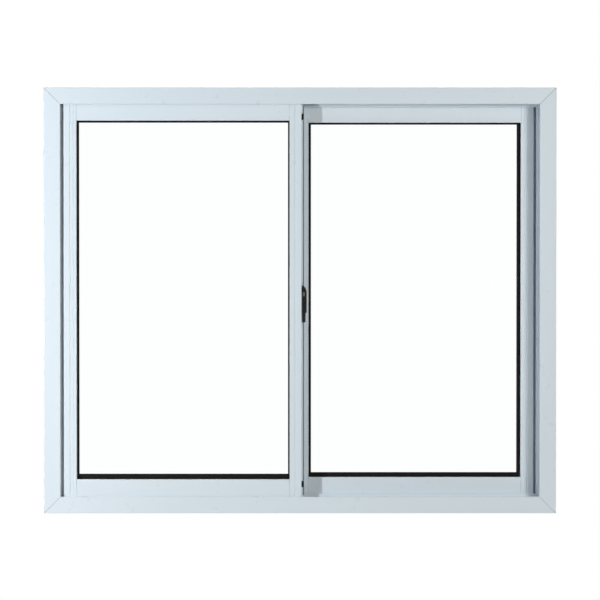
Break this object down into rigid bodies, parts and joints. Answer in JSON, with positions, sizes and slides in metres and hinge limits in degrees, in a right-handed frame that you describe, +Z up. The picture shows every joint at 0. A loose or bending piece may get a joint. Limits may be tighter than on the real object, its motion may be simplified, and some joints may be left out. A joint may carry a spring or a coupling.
{
  "type": "sliding window",
  "caption": "White coated aluminium window with two glazed sliding sashes on a two-track frame, mitred cover trim and a black side latch.",
  "frame": {"origin": "middle of the bottom trim's bearing strip, on the wall face", "axes": "+X to the right along the sill seen from the room, +Y out of the room through the wall, +Z up"},
  "size_m": [1.2, 0.0696, 0.997],
  "materials": {
    "white_aluminium": "satin",
    "clear_glass": "gloss",
    "black_rubber": "matte",
    "black_plastic": "satin",
    "grey_pile": "matte",
    "white_plastic": "satin",
    "nylon": "satin",
    "steel": "satin"
  },
  "bodies": {
    "root": {"frame_head": "white_aluminium", "frame_sill": "white_aluminium", "front_sash_bottom_rail": "white_aluminium", "front_sash_brush_seals": "grey_pile", "front_sash_gasket": "black_rubber", "front_sash_glass": "clear_glass", "front_sash_guide_blocks": "black_plastic", "front_sash_meeting_stile": "white_aluminium", "front_sash_outer_stile": "white_aluminium", "front_sash_roller_carriages": "black_plastic", "front_sash_roller_wheels": "nylon", "front_sash_top_rail": "white_aluminium", "latch_base": "black_plastic", "latch_keeper": "steel", "latch_lever": "black_plastic", "latch_tongue": "black_plastic", "left_jamb": "white_aluminium", "left_jamb_stops": "black_rubber", "rear_sash_bottom_rail": "white_aluminium", "rear_sash_brush_seals": "grey_pile", "rear_sash_gasket": "black_rubber", "rear_sash_glass": "clear_glass", "rear_sash_meeting_stile": "white_aluminium", "rear_sash_outer_stile": "white_aluminium", "rear_sash_roller_carriages": "black_plastic", "rear_sash_roller_wheels": "nylon", "rear_sash_top_rail": "white_aluminium", "right_jamb": "white_aluminium", "right_jamb_stops": "black_rubber", "sill_drain_covers": "white_plastic", "trim_bottom": "white_aluminium", "trim_left": "white_aluminium", "trim_right": "white_aluminium", "trim_top": "white_aluminium"}
  },
  "joints": []
}
